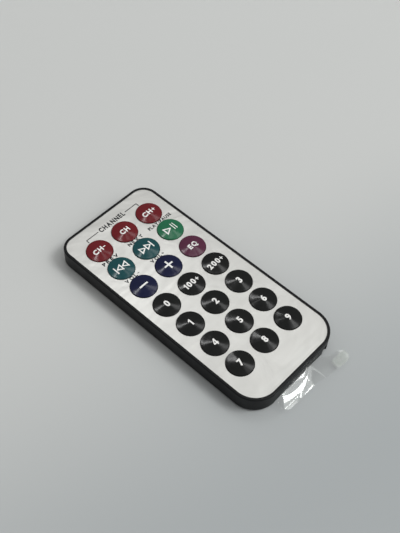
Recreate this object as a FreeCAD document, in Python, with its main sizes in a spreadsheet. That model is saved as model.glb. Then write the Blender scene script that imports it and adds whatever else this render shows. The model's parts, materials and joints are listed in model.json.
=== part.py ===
import FreeCAD, Part
import math
import os

import Sketcher

# Slim card remote control with domed keys, a coin cell in a slide-out tray and a clear pull tab.
# Millimetres. The origin is the centre of the back face, +Y runs to the infrared end and +Z to the keys.

os.makedirs("parts", exist_ok=True)

SIZES = {
    # case
    "case_length": 86.0,
    "case_width": 39.8,
    "far_corner_radius": 5.6,
    "near_corner_radius": 8.5,
    "wall": 1.2,
    "back_wall": 0.7,
    "back_edge_radius": 1.0,
    "rim_width": 0.95,
    "rim_edge_radius": 0.35,
    "rim_lip": 0.2,
    "split_height": 4.3,
    "snap_lip_thickness": 0.5,
    "snap_lip_height": 0.75,
    "snap_lip_gap": 0.05,
    "plate_thickness": 0.6,
    "overlay_thickness": 0.2,
    "overlay_gap": 0.03,
    # keys
    "key_pitch_x": 11.25,
    "key_pitch_y": 10.09,
    "key_grid_y": 1.53,
    "key_radius": 4.4,
    "key_hole_gap": 0.12,
    "key_rim_height": 0.42,
    "key_crown_rise": 0.45,
    "key_edge": 0.12,
    "key_flange_radius": 4.9,
    "key_flange_thickness": 0.25,
    "key_flange_gap": 0.07,
    "key_rest_gap": 0.03,
    # snap domes and their film
    "dome_radius": 3.0,
    "dome_height": 0.35,
    "dome_sheet": 0.07,
    "dome_foot": 0.28,
    "dome_hole_gap": 0.15,
    "retainer_thickness": 0.08,
    "retainer_inset": 0.4,
    # circuit board
    "board_thickness": 0.6,
    "board_gap": 0.4,
    "post_radius": 1.3,
    "post_pin_radius": 0.6,
    "post_pin_gap": 0.1,
    "post_x": 12.5,
    "post_y": 7.0,  # in from the far end
    "clamp_post_radius": 1.0,
    "clamp_post_gap": 0.15,
    # battery and tray
    "cell_radius": 10.0,
    "cell_thickness": 2.5,
    "cell_y": 17.3,  # in from the tray's near end
    "can_floor": 0.25,
    "can_wall": 0.8,
    "can_height": 2.3,
    "cap_gap": 0.1,
    "tray_half_width": 11.4,
    "tray_length": 29.0,
    "tray_gap": 0.15,
    "tray_side_gap": 0.2,
    "tray_floor": 0.3,
    "tray_window_radius": 7.0,
    "tray_recess": 0.1,
    "tray_edge_radius": 0.9,
    "tray_front_length": 6.5,
    "cell_pocket_gap": 0.15,
    "grip_groove_depth": 0.3,
    "grip_groove_width": 0.6,
    "grip_groove_pitch": 1.4,
    "grip_groove_length": 12.0,
    "rail_thickness": 1.2,
    "rail_stop_gap": 0.2,
    # latch finger at the side of the tray
    "latch_thickness": 1.0,
    "latch_pinch_gap": 1.2,
    "latch_pivot_from_end": 11.5,
    "latch_boss_radius": 0.6,
    "latch_boss_gap": 0.05,
    "latch_ear_length": 1.6,
    "latch_end_setback": 0.6,
    "latch_tooth": 0.4,
    "latch_tooth_length": 1.6,
    "latch_tooth_height": 1.2,
    "latch_tooth_lift": 0.8,
    "latch_tooth_setback": 1.0,
    "latch_tooth_gap": 0.15,
    # pull tab
    "film_thickness": 0.1,
    "film_gap": 0.03,
    "film_inside_length": 20.0,
    "film_neck_half_width": 7.0,
    "film_half_width": 14.7,
    "film_centre_x": 2.6,
    "film_corner_radius": 2.4,
    "film_exit": 0.4,
    "film_bend_radius": 2.8,
    "film_bend_angle": 55.0,
    "film_flat": 1.6,
    # contacts
    "contact_gap": 0.04,
    "contact_space": 0.23,
    "contact_sheet": 0.15,
    "contact_bump_radius": 0.9,
    "minus_contact_length": 9.0,
    "minus_contact_width": 4.0,
    "plus_contact_width": 3.0,
    "plus_contact_height": 1.2,
    "plus_contact_notch_gap": 0.6,
    "plus_contact_foot": 3.0,
    # infrared emitter
    "led_radius": 1.5,
    "led_flange_radius": 1.5,
    "led_hole_gap": 0.05,
    "led_body_length": 4.0,
    "led_height": 2.3,
    "led_stand_out": 0.3,
    "lead_width": 0.45,
    "lead_pitch": 2.54,
    "lead_run": 2.0,
    "lead_hole_radius": 0.4,
    # parts under the board
    "chip_length": 12.8,
    "chip_width": 7.5,
    "chip_height": 2.0,
    "chip_standoff": 0.1,
    "chip_y": 8.0,
    "chip_lead_length": 1.3,
    "chip_lead_width": 0.4,
    "chip_lead_thickness": 0.25,
    "chip_lead_pitch": 1.27,
    "resonator_length": 7.4,
    "resonator_width": 3.4,
    "resonator_height": 2.9,
    "resonator_x": -9.5,
    "resonator_y": 23.0,
    "passive_length": 2.0,
    "passive_width": 1.2,
    "passive_height": 0.7,
    "passive_x": 9.0,
    "passive_y": 18.0,
    "passive_pitch": 3.0,
    "transistor_length": 2.9,
    "transistor_width": 1.3,
    "transistor_height": 1.0,
    "transistor_x": 6.0,
    "transistor_y": 31.0,
    "transistor_leg": 0.55,
}

CHIP_LEADS_PER_SIDE = 10
PASSIVE_COUNT = 3
GRIP_GROOVES = 3
KEY_NAMES = [
    ["key_ch_minus", "key_ch", "key_ch_plus"],
    ["key_prev", "key_next", "key_play_pause"],
    ["key_vol_down", "key_vol_up", "key_eq"],
    ["key_0", "key_100_plus", "key_200_plus"],
    ["key_1", "key_2", "key_3"],
    ["key_4", "key_5", "key_6"],
    ["key_7", "key_8", "key_9"],
]
MIDDLE_ROW = 3
# rows of keys after which a pair of clamping posts stands, between the columns
CLAMP_POST_ROWS = [0, 2, 4]

# heights through the case, from the back face up
TRAY_BOTTOM = "Sizes.back_wall + Sizes.tray_gap"
CELL_BOTTOM = TRAY_BOTTOM + " + Sizes.tray_floor"
CELL_TOP = CELL_BOTTOM + " + Sizes.cell_thickness"
FILM_BOTTOM = CELL_TOP + " + Sizes.film_gap"
FILM_TOP = FILM_BOTTOM + " + Sizes.film_thickness"
CONTACT_TIP = FILM_TOP + " + Sizes.contact_gap"
BOARD_BOTTOM = CONTACT_TIP + " + Sizes.contact_space"
BOARD_TOP = BOARD_BOTTOM + " + Sizes.board_thickness"
DOME_TOP = BOARD_TOP + " + Sizes.dome_height"
KEY_BOTTOM = DOME_TOP + " + Sizes.key_rest_gap"
KEY_FLANGE_TOP = KEY_BOTTOM + " + Sizes.key_flange_thickness"
PLATE_BOTTOM = KEY_FLANGE_TOP + " + Sizes.key_flange_gap"
PLATE_TOP = PLATE_BOTTOM + " + Sizes.plate_thickness"
OVERLAY_TOP = PLATE_TOP + " + Sizes.overlay_thickness"
CASE_TOP = OVERLAY_TOP + " + Sizes.rim_lip"
KEY_RIM = OVERLAY_TOP + " + Sizes.key_rim_height"
KEY_CROWN = KEY_RIM + " + Sizes.key_crown_rise"

# places along the case
NEAR_END = "-Sizes.case_length / 2"
FAR_END = "Sizes.case_length / 2"
TRAY_NEAR = NEAR_END + " + Sizes.tray_recess"
TRAY_FAR = TRAY_NEAR + " + Sizes.tray_length"
TRAY_FRONT_END = TRAY_NEAR + " + Sizes.tray_front_length"
CELL_Y = TRAY_NEAR + " + Sizes.cell_y"
LATCH_INNER_X = "Sizes.tray_half_width + Sizes.latch_pinch_gap"
LATCH_OUTER_X = LATCH_INNER_X + " + Sizes.latch_thickness"
LATCH_MIDDLE_X = LATCH_INNER_X + " + Sizes.latch_thickness / 2"
LATCH_PIVOT_Y = TRAY_NEAR + " + Sizes.latch_pivot_from_end"
LATCH_TOOTH_FAR = TRAY_FRONT_END + " - Sizes.latch_tooth_setback"
LATCH_TOOTH_NEAR = LATCH_TOOTH_FAR + " - Sizes.latch_tooth_length"
LATCH_TOOTH_BOTTOM = TRAY_BOTTOM + " + Sizes.latch_tooth_lift"
BAY_LEFT = "-(Sizes.tray_half_width + Sizes.tray_side_gap)"
BAY_RIGHT = LATCH_OUTER_X + " + Sizes.tray_side_gap"
BAY_TOP = FILM_TOP + " + Sizes.film_gap"

doc = FreeCAD.newDocument("card_remote")
sheet = doc.addObject("Spreadsheet::Sheet", "Sizes")
nodes = {}


def fill_sheet():
    for row, (alias, size) in enumerate(SIZES.items(), 1):
        sheet.set("A%d" % row, alias)
        sheet.set("B%d" % row, str(size))
        sheet.setAlias("B%d" % row, alias)
    doc.recompute()


def value(expression):
    return float(sheet.evalExpression(expression))


def minus(a, b):
    return "(%s) - (%s)" % (a, b)


def keep(name, obj):
    """Make an object a sub-part of the remote, under the name of its file."""
    obj.Label = name
    nodes[name] = obj
    return obj


# sketches


def new_body(name):
    return doc.addObject("PartDesign::Body", "body_" + name)


def new_sketch(body, role="XY_Plane", offset="0"):
    """A sketch on one of the body's own origin planes, moved along the plane's normal."""
    sketch = body.newObject("Sketcher::SketchObject", "sketch")
    plane = [feature for feature in body.Origin.OriginFeatures if feature.Role == role][0]
    sketch.AttachmentSupport = [(plane, "")]
    sketch.MapMode = "FlatFace"
    sketch.setExpression("AttachmentOffset.Base.z", offset)
    return sketch


def bind(sketch, constraint, expression):
    index = sketch.addConstraint(constraint)
    sketch.setExpression("Constraints[%d]" % index, expression)


def place_point(sketch, edge, end, x, y):
    bind(sketch, Sketcher.Constraint("DistanceX", -1, 1, edge, end, value(x)), x)
    bind(sketch, Sketcher.Constraint("DistanceY", -1, 1, edge, end, value(y)), y)


def profile(sketch, points, arcs=()):
    """Close a loop through points given as pairs of expressions. An edge whose number is in arcs
    is an arc with its centre on the sketch's vertical axis, and the others are straight."""
    places = [(value(x), value(y)) for x, y in points]
    ends = []
    for i, (x0, y0) in enumerate(places):
        x1, y1 = places[(i + 1) % len(places)]
        if i not in arcs:
            edge = Part.LineSegment(FreeCAD.Vector(x0, y0, 0), FreeCAD.Vector(x1, y1, 0))
            ends.append((sketch.addGeometry(edge), 1, 2))
            continue
        centre_y = (x0 ** 2 - x1 ** 2 + y0 ** 2 - y1 ** 2) / (2 * (y0 - y1))
        angles = [math.atan2(y - centre_y, x) for x, y in ((x0, y0), (x1, y1))]
        circle = Part.Circle(FreeCAD.Vector(0, centre_y, 0), FreeCAD.Vector(0, 0, 1),
                             math.hypot(x0, y0 - centre_y))
        edge = sketch.addGeometry(Part.ArcOfCircle(circle, min(angles), max(angles)))
        ends.append((edge, 1, 2) if angles[0] < angles[1] else (edge, 2, 1))
        sketch.addConstraint(Sketcher.Constraint("PointOnObject", edge, 3, -2))
    for i, (edge, start, end) in enumerate(ends):
        following, following_start, _ = ends[(i + 1) % len(ends)]
        sketch.addConstraint(Sketcher.Constraint("Coincident", edge, end, following, following_start))
        place_point(sketch, edge, start, *points[i])


def rectangle(sketch, x0, y0, x1, y1):
    profile(sketch, [(x0, y0), (x1, y0), (x1, y1), (x0, y1)])


def circle(sketch, x, y, radius):
    centre = FreeCAD.Vector(value(x), value(y), 0)
    edge = sketch.addGeometry(Part.Circle(centre, FreeCAD.Vector(0, 0, 1), value(radius)))
    bind(sketch, Sketcher.Constraint("Radius", edge, value(radius)), radius)
    place_point(sketch, edge, 3, x, y)


def case_outline(sketch, inset):
    """The case's outline in plan, drawn in by the inset, with tighter corners at the far end."""
    half = minus("Sizes.case_width / 2", inset)
    length = minus("Sizes.case_length / 2", inset)
    far_radius = minus("Sizes.far_corner_radius", inset)
    near_radius = minus("Sizes.near_corner_radius", inset)
    w, l, rf, rn = value(half), value(length), value(far_radius), value(near_radius)
    vector = FreeCAD.Vector
    lines = [
        sketch.addGeometry(Part.LineSegment(vector(w, -l + rn, 0), vector(w, l - rf, 0))),
        sketch.addGeometry(Part.LineSegment(vector(w - rf, l, 0), vector(rf - w, l, 0))),
        sketch.addGeometry(Part.LineSegment(vector(-w, l - rf, 0), vector(-w, rn - l, 0))),
        sketch.addGeometry(Part.LineSegment(vector(rn - w, -l, 0), vector(w - rn, -l, 0))),
    ]
    corners = [(w - rf, l - rf, rf, far_radius), (rf - w, l - rf, rf, far_radius),
               (rn - w, rn - l, rn, near_radius), (w - rn, rn - l, rn, near_radius)]
    for i, (x, y, r, radius) in enumerate(corners):
        arc = Part.ArcOfCircle(Part.Circle(vector(x, y, 0), vector(0, 0, 1), r),
                               i * math.pi / 2, (i + 1) * math.pi / 2)
        corner = sketch.addGeometry(arc)
        sketch.addConstraint(Sketcher.Constraint("Tangent", lines[i], 2, corner, 1))
        sketch.addConstraint(Sketcher.Constraint("Tangent", corner, 2, lines[(i + 1) % 4], 1))
        bind(sketch, Sketcher.Constraint("Radius", corner, r), radius)
    sketch.addConstraint(Sketcher.Constraint("Vertical", lines[0]))
    sketch.addConstraint(Sketcher.Constraint("Horizontal", lines[1]))
    sketch.addConstraint(Sketcher.Constraint("Vertical", lines[2]))
    sketch.addConstraint(Sketcher.Constraint("Horizontal", lines[3]))
    bind(sketch, Sketcher.Constraint("DistanceX", -1, 1, lines[0], 1, w), half)
    bind(sketch, Sketcher.Constraint("DistanceY", -1, 1, lines[1], 1, l), length)
    bind(sketch, Sketcher.Constraint("DistanceX", -1, 1, lines[2], 1, -w), "-(%s)" % half)
    bind(sketch, Sketcher.Constraint("DistanceY", -1, 1, lines[3], 1, -l), "-(%s)" % length)


# features


def pad(body, sketch, length):
    feature = body.newObject("PartDesign::Pad", "pad")
    feature.Profile = sketch
    feature.setExpression("Length", length)
    doc.recompute()
    return feature


def pocket(body, sketch, depth, upward=True):
    """Cut the sketch's shape to a depth, along its normal or against it, and check that it cuts."""
    before = body.Shape.Volume
    feature = body.newObject("PartDesign::Pocket", "pocket")
    feature.Profile = sketch
    feature.Reversed = upward
    feature.setExpression("Length", depth)
    doc.recompute()
    if not feature.Shape.Volume < before - 1e-6:
        raise RuntimeError("a pocket in %s removes nothing" % body.Name)
    return feature


def revolve(body, sketch):
    feature = body.newObject("PartDesign::Revolution", "revolution")
    feature.Profile = sketch
    feature.ReferenceAxis = (sketch, ["V_Axis"])
    feature.Angle = 360
    doc.recompute()
    return feature


def fillet_level(body, height, radius, y=None):
    """Round every edge of the body that lies at one height, or only those there that run
    across it at one place along the case."""
    level = value(height)
    base = body.Tip
    edges = []
    for i, edge in enumerate(base.Shape.Edges, 1):
        limits = edge.BoundBox
        at_height = abs(limits.ZMin - level) < 1e-4 and abs(limits.ZMax - level) < 1e-4
        at_place = y is None or (abs(limits.YMin - value(y)) < 1e-4
                                 and abs(limits.YMax - value(y)) < 1e-4)
        if at_height and at_place:
            edges.append("Edge%d" % i)
    feature = body.newObject("PartDesign::Fillet", "fillet")
    feature.Base = (base, edges)
    feature.setExpression("Radius", radius)
    doc.recompute()
    return feature


def box(name, x0, y0, z0, x1, y1, z1):
    obj = doc.addObject("Part::Box", name)
    for axis, size, low, high in (("x", "Length", x0, x1), ("y", "Width", y0, y1),
                                  ("z", "Height", z0, z1)):
        obj.setExpression("Placement.Base." + axis, low)
        obj.setExpression(size, minus(high, low))
    return obj


def cylinder(name, x, y, z, radius, height):
    obj = doc.addObject("Part::Cylinder", name)
    obj.setExpression("Placement.Base.x", x)
    obj.setExpression("Placement.Base.y", y)
    obj.setExpression("Placement.Base.z", z)
    obj.setExpression("Radius", radius)
    obj.setExpression("Height", height)
    return obj


def fuse(name, pieces):
    obj = doc.addObject("Part::MultiFuse", name)
    obj.Shapes = pieces
    return obj


def group(name, pieces):
    obj = doc.addObject("Part::Compound", name)
    obj.Links = pieces
    return obj


# positions that more than one piece shares


def key_places():
    """Each key's name with the place of its centre in plan."""
    for row, names in enumerate(KEY_NAMES):
        for column, name in enumerate(names):
            x = "%d * Sizes.key_pitch_x" % (column - 1)
            y = "Sizes.key_grid_y + %d * Sizes.key_pitch_y" % (MIDDLE_ROW - row)
            yield name, x, y


def clamp_post_places():
    for row in CLAMP_POST_ROWS:
        y = "Sizes.key_grid_y + %.1f * Sizes.key_pitch_y" % (MIDDLE_ROW - row - 0.5)
        for side in (-0.5, 0.5):
            yield "%.1f * Sizes.key_pitch_x" % side, y


def post_places():
    for side in (-1, 1):
        yield "%d * Sizes.post_x" % side, FAR_END + " - Sizes.post_y"


def lead_places():
    for side in (-0.5, 0.5):
        yield "%.1f * Sizes.lead_pitch" % side


LED_TIP = FAR_END + " + Sizes.led_stand_out"
LED_BACK = LED_TIP + " - Sizes.led_radius - Sizes.led_body_length"
LEAD_END = LED_BACK + " - Sizes.lead_run"


# case


def rear_shell():
    body = new_body("rear_shell")
    outline = new_sketch(body)
    case_outline(outline, "0")
    pad(body, outline, "Sizes.split_height")
    fillet_level(body, "0", "Sizes.back_edge_radius")

    hollow = new_sketch(body, offset="Sizes.back_wall")
    case_outline(hollow, "Sizes.wall")
    pocket(body, hollow, minus("Sizes.split_height", "Sizes.back_wall"))

    snap_lip = new_sketch(body, offset="Sizes.split_height")
    case_outline(snap_lip, "Sizes.wall - Sizes.snap_lip_thickness")
    case_outline(snap_lip, "Sizes.wall")
    pad(body, snap_lip, "Sizes.snap_lip_height")

    support_height = minus(BOARD_BOTTOM, "Sizes.back_wall")
    rails = new_sketch(body, offset="Sizes.back_wall")
    rail_near = NEAR_END + " + Sizes.wall"
    rail_far = TRAY_FAR + " + Sizes.rail_stop_gap + Sizes.rail_thickness"
    rectangle(rails, BAY_LEFT + " - Sizes.rail_thickness", rail_near, BAY_LEFT, rail_far)
    rectangle(rails, BAY_RIGHT, rail_near, BAY_RIGHT + " + Sizes.rail_thickness", rail_far)
    for x, y in post_places():
        circle(rails, x, y, "Sizes.post_radius")
    pad(body, rails, support_height)

    pins = new_sketch(body, offset=BOARD_BOTTOM)
    for x, y in post_places():
        circle(pins, x, y, "Sizes.post_pin_radius")
    pad(body, pins, "Sizes.board_thickness")

    # the tray's way in through the near end wall, and its window in the back
    bay = new_sketch(body)
    rectangle(bay, BAY_LEFT, NEAR_END + " - Sizes.wall", BAY_RIGHT,
              TRAY_FRONT_END + " + Sizes.tray_side_gap")
    pocket(body, bay, BAY_TOP)

    # the latch's tooth runs out along this channel, which the end wall and the rail share
    channel = new_sketch(body, offset=LATCH_TOOTH_BOTTOM + " - Sizes.latch_tooth_gap")
    rectangle(channel, BAY_RIGHT, NEAR_END + " - Sizes.wall",
              LATCH_OUTER_X + " + Sizes.latch_tooth + Sizes.latch_tooth_gap",
              LATCH_TOOTH_FAR + " + Sizes.latch_tooth_gap")
    pocket(body, channel, "Sizes.latch_tooth_height + 2 * Sizes.latch_tooth_gap")

    # the cut starts one wall outside the far end and runs one wall past its inner face
    led_hole = new_sketch(body, "XZ_Plane", "-(%s + Sizes.wall)" % FAR_END)
    circle(led_hole, "0", "Sizes.led_height", "Sizes.led_radius + Sizes.led_hole_gap")
    pocket(body, led_hole, "3 * Sizes.wall")
    keep("rear_shell", body)


def front_shell():
    body = new_body("front_shell")
    outline = new_sketch(body, offset="Sizes.split_height")
    case_outline(outline, "0")
    pad(body, outline, minus(CASE_TOP, "Sizes.split_height"))
    fillet_level(body, CASE_TOP, "Sizes.rim_edge_radius")

    recess = new_sketch(body, offset=PLATE_TOP)
    case_outline(recess, "Sizes.rim_width")
    pocket(body, recess, minus(CASE_TOP, PLATE_TOP))

    hollow = new_sketch(body, offset="Sizes.split_height")
    case_outline(hollow, "Sizes.wall")
    pocket(body, hollow, minus(PLATE_BOTTOM, "Sizes.split_height"))

    lip_room = new_sketch(body, offset="Sizes.split_height")
    case_outline(lip_room, "Sizes.wall - Sizes.snap_lip_thickness - Sizes.snap_lip_gap")
    pocket(body, lip_room, "Sizes.snap_lip_height + Sizes.snap_lip_gap")

    posts = new_sketch(body, offset=BOARD_TOP)
    for x, y in clamp_post_places():
        circle(posts, x, y, "Sizes.clamp_post_radius")
    pad(body, posts, minus(PLATE_BOTTOM, BOARD_TOP))

    holes = new_sketch(body, offset=PLATE_BOTTOM)
    for _, x, y in key_places():
        circle(holes, x, y, "Sizes.key_radius + Sizes.key_hole_gap")
    pocket(body, holes, "Sizes.plate_thickness")
    keep("front_shell", body)


def key_overlay():
    body = new_body("key_overlay")
    outline = new_sketch(body, offset=PLATE_TOP)
    case_outline(outline, "Sizes.rim_width + Sizes.overlay_gap")
    for _, x, y in key_places():
        circle(outline, x, y, "Sizes.key_radius + Sizes.key_hole_gap")
    pad(body, outline, "Sizes.overlay_thickness")
    keep("key_overlay", body)


# keys and the domes under them


def key(name, x, y):
    body = new_body(name)
    section = new_sketch(body, "XZ_Plane")
    profile(section, [
        ("0", KEY_BOTTOM),
        ("Sizes.key_flange_radius", KEY_BOTTOM),
        ("Sizes.key_flange_radius", KEY_FLANGE_TOP),
        ("Sizes.key_radius", KEY_FLANGE_TOP),
        ("Sizes.key_radius", KEY_RIM + " - Sizes.key_edge"),
        ("Sizes.key_radius - Sizes.key_edge", KEY_RIM),
        ("0", KEY_CROWN),
    ], arcs=(5,))
    revolve(body, section)
    body.setExpression("Placement.Base.x", x)
    body.setExpression("Placement.Base.y", y)
    keep(name, body)


def dome(name, x, y):
    """A thin domed disc, hollow underneath, standing on its rim on the board."""
    body = new_body(name)
    section = new_sketch(body, "XZ_Plane")
    profile(section, [
        ("Sizes.dome_radius", BOARD_TOP),
        ("0", DOME_TOP),
        ("0", DOME_TOP + " - Sizes.dome_sheet"),
        ("Sizes.dome_radius - Sizes.dome_foot", BOARD_TOP),
    ], arcs=(0, 2))
    revolve(body, section)
    body.setExpression("Placement.Base.x", x)
    body.setExpression("Placement.Base.y", y)
    keep(name, body)


def dome_retainer():
    body = new_body("dome_retainer")
    film = new_sketch(body, offset=BOARD_TOP)
    case_outline(film, "Sizes.wall + Sizes.board_gap + Sizes.retainer_inset")
    pad(body, film, "Sizes.retainer_thickness")

    dome_holes = new_sketch(body, offset=BOARD_TOP)
    for _, x, y in key_places():
        circle(dome_holes, x, y, "Sizes.dome_radius + Sizes.dome_hole_gap")
    pocket(body, dome_holes, "Sizes.retainer_thickness")

    # a cut of their own, because on a shorter case these run into the domes' holes
    small_holes = new_sketch(body, offset=BOARD_TOP)
    for x, y in clamp_post_places():
        circle(small_holes, x, y, "Sizes.clamp_post_radius + Sizes.clamp_post_gap")
    for x, y in post_places():
        circle(small_holes, x, y, "Sizes.post_pin_radius + Sizes.post_pin_gap")
    for x in lead_places():
        circle(small_holes, x, LEAD_END, "Sizes.lead_hole_radius")
    pocket(body, small_holes, "Sizes.retainer_thickness")
    keep("dome_retainer", body)


# circuit board and what is soldered to it


def circuit_board():
    body = new_body("circuit_board")
    outline = new_sketch(body, offset=BOARD_BOTTOM)
    case_outline(outline, "Sizes.wall + Sizes.board_gap")
    for x, y in post_places():
        circle(outline, x, y, "Sizes.post_pin_radius + Sizes.post_pin_gap")
    for x in lead_places():
        circle(outline, x, LEAD_END, "Sizes.lead_hole_radius")
    pad(body, outline, "Sizes.board_thickness")
    keep("circuit_board", body)


def ir_led():
    """The emitter's lens: a round body with a half-round tip, lying along Y."""
    body = new_body("ir_led")
    section = new_sketch(body)
    profile(section, [
        ("0", LED_BACK),
        ("Sizes.led_flange_radius", LED_BACK),
        ("Sizes.led_radius", LED_TIP + " - Sizes.led_radius"),
        ("0", LED_TIP),
    ], arcs=(2,))
    revolve(body, section)
    body.setExpression("Placement.Base.z", "Sizes.led_height")
    keep("ir_led", body)


def ir_led_leads():
    pieces = []
    half = "Sizes.lead_width / 2"
    for i, x in enumerate(lead_places()):
        left, right = minus(x, half), "%s + %s" % (x, half)
        low, high = minus("Sizes.led_height", half), "Sizes.led_height + " + half
        pieces.append(box("lead_run_%d" % i, left, minus(LEAD_END, half), low,
                          right, LED_BACK, high))
        pieces.append(box("lead_rise_%d" % i, left, minus(LEAD_END, half), low,
                          right, LEAD_END + " + " + half, BOARD_TOP))
    runs = [fuse("lead_%d" % i, pieces[2 * i:2 * i + 2]) for i in range(2)]
    keep("ir_led_leads", group("leads", runs))


def controller_chip():
    half_length = "Sizes.chip_length / 2"
    half_width = "Sizes.chip_width / 2"
    top = minus(BOARD_BOTTOM, "Sizes.chip_standoff")
    pieces = [box("chip_body", "-" + half_width, minus("Sizes.chip_y", half_length),
                  minus(top, "Sizes.chip_height"), half_width,
                  "Sizes.chip_y + " + half_length, top)]
    for i in range(CHIP_LEADS_PER_SIDE):
        along = "Sizes.chip_y + %.1f * Sizes.chip_lead_pitch" % (i - (CHIP_LEADS_PER_SIDE - 1) / 2)
        y0 = minus(along, "Sizes.chip_lead_width / 2")
        y1 = along + " + Sizes.chip_lead_width / 2"
        z0 = minus(BOARD_BOTTOM, "Sizes.chip_lead_thickness")
        reach = half_width + " + Sizes.chip_lead_length"
        pieces.append(box("chip_lead", half_width, y0, z0, reach, y1, BOARD_BOTTOM))
        pieces.append(box("chip_lead", "-(%s)" % reach, y0, z0, "-" + half_width, y1, BOARD_BOTTOM))
    keep("controller_chip", fuse("chip", pieces))


def under_board_box(name, x, y, length, width, height):
    """A block that hangs under the board, centred at a place in plan."""
    return box(name, "%s - %s / 2" % (x, length), "%s - %s / 2" % (y, width),
               minus(BOARD_BOTTOM, height), "%s + %s / 2" % (x, length),
               "%s + %s / 2" % (y, width), BOARD_BOTTOM)


def resonator():
    keep("resonator", under_board_box("resonator_block", "Sizes.resonator_x", "Sizes.resonator_y",
                                      "Sizes.resonator_length", "Sizes.resonator_width",
                                      "Sizes.resonator_height"))


def passives():
    pieces = []
    for i in range(PASSIVE_COUNT):
        y = "Sizes.passive_y + %d * Sizes.passive_pitch" % i
        pieces.append(under_board_box("passive", "Sizes.passive_x", y, "Sizes.passive_length",
                                      "Sizes.passive_width", "Sizes.passive_height"))
    keep("chip_passives", group("passives", pieces))


def transistor():
    body = under_board_box("transistor_block", "Sizes.transistor_x", "Sizes.transistor_y",
                           "Sizes.transistor_length", "Sizes.transistor_width",
                           "Sizes.transistor_height")
    legs = []
    for side in (-1, 0, 1):
        x = "Sizes.transistor_x + %d * Sizes.transistor_length / 3" % side
        direction = 1 if side == 0 else -1
        y = "Sizes.transistor_y + %d * (Sizes.transistor_width + Sizes.transistor_leg) / 2" % direction
        legs.append(under_board_box("transistor_foot", x, y, "Sizes.lead_width",
                                    "Sizes.transistor_leg", "Sizes.chip_lead_thickness"))
    keep("transistor", fuse("transistor_body", [body] + legs))


def minus_contact():
    """A spring strip under the board, with a dimple that presses on the cell's cap."""
    half = "Sizes.minus_contact_length / 2"
    strip = box("minus_strip", "-Sizes.minus_contact_width / 2", minus(CELL_Y, half),
                minus(BOARD_BOTTOM, "Sizes.contact_sheet"), "Sizes.minus_contact_width / 2",
                CELL_Y + " + " + half, BOARD_BOTTOM)
    dimple = cylinder("minus_dimple", "0", CELL_Y, CONTACT_TIP,
                      "Sizes.contact_bump_radius", "Sizes.contact_space")
    keep("negative_contact", fuse("minus_contact", [strip, dimple]))


def plus_contact():
    """A strip that comes down from the board and reaches the rim of the cell's can."""
    half = "Sizes.plus_contact_width / 2"
    rim = CELL_Y + " + Sizes.cell_radius + Sizes.contact_gap"
    riser = TRAY_FAR + " + Sizes.rail_stop_gap"
    riser_far = riser + " + Sizes.contact_sheet"
    low = CELL_BOTTOM + " + (Sizes.can_height - Sizes.plus_contact_height) / 2"
    finger = box("plus_finger", "-" + half, rim, low, half, riser_far,
                 low + " + Sizes.contact_sheet")
    tip = box("plus_tip", "-" + half, rim, low, half, rim + " + Sizes.contact_sheet",
              low + " + Sizes.plus_contact_height")
    rise = box("plus_rise", "-" + half, riser, low, half, riser_far, BOARD_BOTTOM)
    foot = box("plus_foot", "-" + half, riser, minus(BOARD_BOTTOM, "Sizes.contact_sheet"), half,
               riser + " + Sizes.plus_contact_foot", BOARD_BOTTOM)
    keep("positive_contact", fuse("plus_contact", [finger, tip, rise, foot]))


# coin cell, tray, latch and pull tab


def coin_cell():
    can = new_body("cell_can")
    section = new_sketch(can, "XZ_Plane")
    inner = "Sizes.cell_radius - Sizes.can_wall"
    can_top = CELL_BOTTOM + " + Sizes.can_height"
    inner_floor = CELL_BOTTOM + " + Sizes.can_floor"
    profile(section, [("0", CELL_BOTTOM), ("Sizes.cell_radius", CELL_BOTTOM),
                      ("Sizes.cell_radius", can_top), (inner, can_top),
                      (inner, inner_floor), ("0", inner_floor)])
    revolve(can, section)
    can.setExpression("Placement.Base.y", CELL_Y)
    keep("cell_can", can)
    cap = cylinder("cap", "0", CELL_Y, inner_floor, inner + " - Sizes.cap_gap",
                   minus(CELL_TOP, inner_floor))
    keep("cell_cap", cap)


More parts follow.
